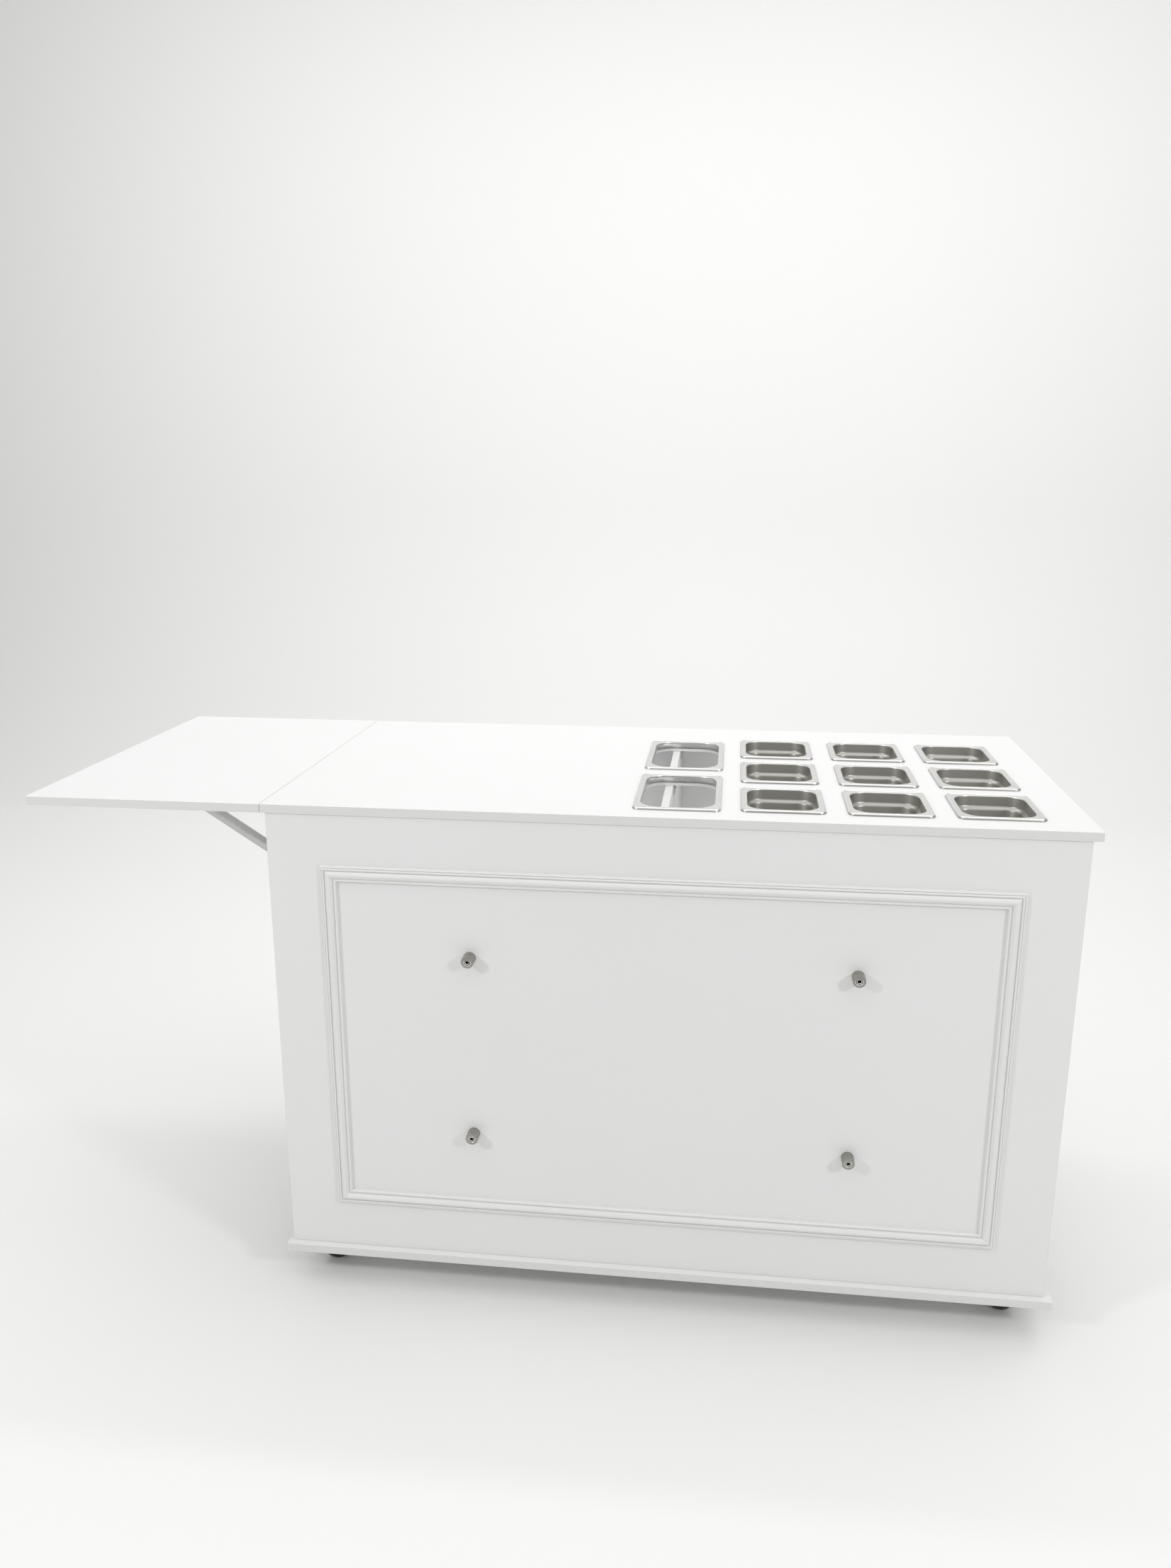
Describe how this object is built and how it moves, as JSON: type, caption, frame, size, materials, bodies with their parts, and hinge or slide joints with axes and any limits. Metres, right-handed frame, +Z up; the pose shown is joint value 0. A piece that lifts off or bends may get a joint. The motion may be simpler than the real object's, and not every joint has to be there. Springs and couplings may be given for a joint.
{
  "type": "mobile serving counter",
  "caption": "White melamine mobile serving counter with drop-in pans, two open rims, a drop leaf on folding brackets, a framed front with sign standoffs and sliding doors behind.",
  "frame": {"origin": "on the floor, under the middle of the whole counter with its leaf raised", "axes": "+X to the right seen from the front, +Y to the back, +Z up"},
  "size_m": [2.07, 0.831, 1.0762],
  "materials": {
    "white_board": "white melamine-faced board, satin",
    "painted_moulding": "white lacquered moulding, satin",
    "stainless": "pressed stainless sheet, satin inside with a bright rolled edge",
    "satin_stainless": "turned, satin",
    "polished_stainless": "polished",
    "zinc_steel": "bright zinc",
    "grey_steel": "light grey powder coat, satin",
    "track_aluminium": "anodised, satin",
    "black_steel": "black powder coat",
    "black_rubber": "matt black tread"
  },
  "bodies": {
    "cabinet": {"worktop": "white_board", "front_panel": "white_board", "side_panel_left": "white_board", "side_panel_right": "white_board", "centre_partition": "white_board", "base_board": "white_board", "shelf_left": "white_board", "shelf_right": "white_board", "moulding_top": "painted_moulding", "moulding_bottom": "painted_moulding", "moulding_left": "painted_moulding", "moulding_right": "painted_moulding", "opening_rim_front": "stainless", "opening_rim_rear": "stainless", "standoff_barrels": "satin_stainless", "standoff_inserts": "polished_stainless", "standoff_nuts": "zinc_steel", "fixing_screws": "zinc_steel", "fixing_angles": "zinc_steel", "bracket_leg_screws": "zinc_steel", "bracket_pivot_pins": "zinc_steel", "shelf_pins": "zinc_steel", "caster_plate_screws": "zinc_steel", "bracket_legs": "grey_steel", "door_track_top": "track_aluminium", "door_track_bottom": "track_aluminium", "caster_plates": "black_steel"},
    "leaf": {"drop_leaf": "white_board", "bracket_arms": "grey_steel", "bracket_arm_screws": "zinc_steel"},
    "strut_front": {"bracket_strut_front": "grey_steel"},
    "strut_rear": {"bracket_strut_rear": "grey_steel"},
    "door_left": {"sliding_door_left": "white_board", "door_pull_left": "polished_stainless"},
    "door_right": {"sliding_door_right": "white_board", "door_pull_right": "polished_stainless"},
    "swivel_front_left": {"caster_fork_front_left": "black_steel", "caster_axle_front_left": "zinc_steel"},
    "wheel_front_left": {"caster_wheel_front_left": "black_rubber"},
    "swivel_front_right": {"caster_fork_front_right": "black_steel", "caster_axle_front_right": "zinc_steel"},
    "wheel_front_right": {"caster_wheel_front_right": "black_rubber"},
    "swivel_rear_left": {"caster_fork_rear_left": "black_steel", "caster_axle_rear_left": "zinc_steel"},
    "wheel_rear_left": {"caster_wheel_rear_left": "black_rubber"},
    "swivel_rear_right": {"caster_fork_rear_right": "black_steel", "caster_axle_rear_right": "zinc_steel"},
    "wheel_rear_right": {"caster_wheel_rear_right": "black_rubber"},
    "pan_front_left": {"pan_front_left": "stainless"},
    "pan_front_centre": {"pan_front_centre": "stainless"},
    "pan_front_right": {"pan_front_right": "stainless"},
    "pan_middle_left": {"pan_middle_left": "stainless"},
    "pan_middle_centre": {"pan_middle_centre": "stainless"},
    "pan_middle_right": {"pan_middle_right": "stainless"},
    "pan_rear_left": {"pan_rear_left": "stainless"},
    "pan_rear_centre": {"pan_rear_centre": "stainless"},
    "pan_rear_right": {"pan_rear_right": "stainless"}
  },
  "joints": [
    {"name": "leaf_fold", "type": "hinge", "parent": "cabinet", "child": "leaf", "pos_m": [-0.561, 0, 1.038], "axis": [0, -1, 0], "range_deg": [0, 90]},
    {"name": "strut_front_swing", "type": "hinge", "parent": "cabinet", "child": "strut_front", "pos_m": [-0.561, -0.2005, 0.888], "axis": [0, -1, 0], "range_deg": [0, 123.21]},
    {"name": "strut_rear_swing", "type": "hinge", "parent": "cabinet", "child": "strut_rear", "pos_m": [-0.561, 0.2215, 0.888], "axis": [0, -1, 0], "range_deg": [0, 123.21]},
    {"name": "swivel_turn_front_left", "type": "hinge", "parent": "cabinet", "child": "swivel_front_left", "pos_m": [-0.451, -0.3015, 0.07], "axis": [0, 0, 1], "continuous": true},
    {"name": "wheel_spin_front_left", "type": "hinge", "parent": "swivel_front_left", "child": "wheel_front_left", "pos_m": [-0.475, -0.3015, 0.03], "axis": [0, 1, 0], "continuous": true},
    {"name": "swivel_turn_front_right", "type": "hinge", "parent": "cabinet", "child": "swivel_front_right", "pos_m": [0.933, -0.3015, 0.07], "axis": [0, 0, 1], "continuous": true},
    {"name": "wheel_spin_front_right", "type": "hinge", "parent": "swivel_front_right", "child": "wheel_front_right", "pos_m": [0.957, -0.3015, 0.03], "axis": [0, 1, 0], "continuous": true},
    {"name": "swivel_turn_rear_left", "type": "hinge", "parent": "cabinet", "child": "swivel_rear_left", "pos_m": [-0.451, 0.2915, 0.07], "axis": [0, 0, 1], "continuous": true},
    {"name": "wheel_spin_rear_left", "type": "hinge", "parent": "swivel_rear_left", "child": "wheel_rear_left", "pos_m": [-0.475, 0.2915, 0.03], "axis": [0, 1, 0], "continuous": true},
    {"name": "swivel_turn_rear_right", "type": "hinge", "parent": "cabinet", "child": "swivel_rear_right", "pos_m": [0.933, 0.2915, 0.07], "axis": [0, 0, 1], "continuous": true},
    {"name": "wheel_spin_rear_right", "type": "hinge", "parent": "swivel_rear_right", "child": "wheel_rear_right", "pos_m": [0.957, 0.2915, 0.03], "axis": [0, 1, 0], "continuous": true},
    {"name": "door_left_slide", "type": "slide", "parent": "cabinet", "child": "door_left", "axis": [1, 0, 0], "range_m": [0, 0.742]},
    {"name": "door_right_slide", "type": "slide", "parent": "cabinet", "child": "door_right", "axis": [-1, 0, 0], "range_m": [0, 0.742]},
    {"name": "pan_front_left_lift", "type": "slide", "parent": "cabinet", "child": "pan_front_left", "axis": [0, 0, 1], "range_m": [0, 0.12]},
    {"name": "pan_front_centre_lift", "type": "slide", "parent": "cabinet", "child": "pan_front_centre", "axis": [0, 0, 1], "range_m": [0, 0.12]},
    {"name": "pan_front_right_lift", "type": "slide", "parent": "cabinet", "child": "pan_front_right", "axis": [0, 0, 1], "range_m": [0, 0.12]},
    {"name": "pan_middle_left_lift", "type": "slide", "parent": "cabinet", "child": "pan_middle_left", "axis": [0, 0, 1], "range_m": [0, 0.12]},
    {"name": "pan_middle_centre_lift", "type": "slide", "parent": "cabinet", "child": "pan_middle_centre", "axis": [0, 0, 1], "range_m": [0, 0.12]},
    {"name": "pan_middle_right_lift", "type": "slide", "parent": "cabinet", "child": "pan_middle_right", "axis": [0, 0, 1], "range_m": [0, 0.12]},
    {"name": "pan_rear_left_lift", "type": "slide", "parent": "cabinet", "child": "pan_rear_left", "axis": [0, 0, 1], "range_m": [0, 0.12]},
    {"name": "pan_rear_centre_lift", "type": "slide", "parent": "cabinet", "child": "pan_rear_centre", "axis": [0, 0, 1], "range_m": [0, 0.12]},
    {"name": "pan_rear_right_lift", "type": "slide", "parent": "cabinet", "child": "pan_rear_right", "axis": [0, 0, 1], "range_m": [0, 0.12]}
  ],
  "couplings": [
    {"joint": "strut_front_swing", "follows": "leaf_fold", "ratio": 1.3679},
    {"joint": "strut_rear_swing", "follows": "leaf_fold", "ratio": 1.3679}
  ]
}
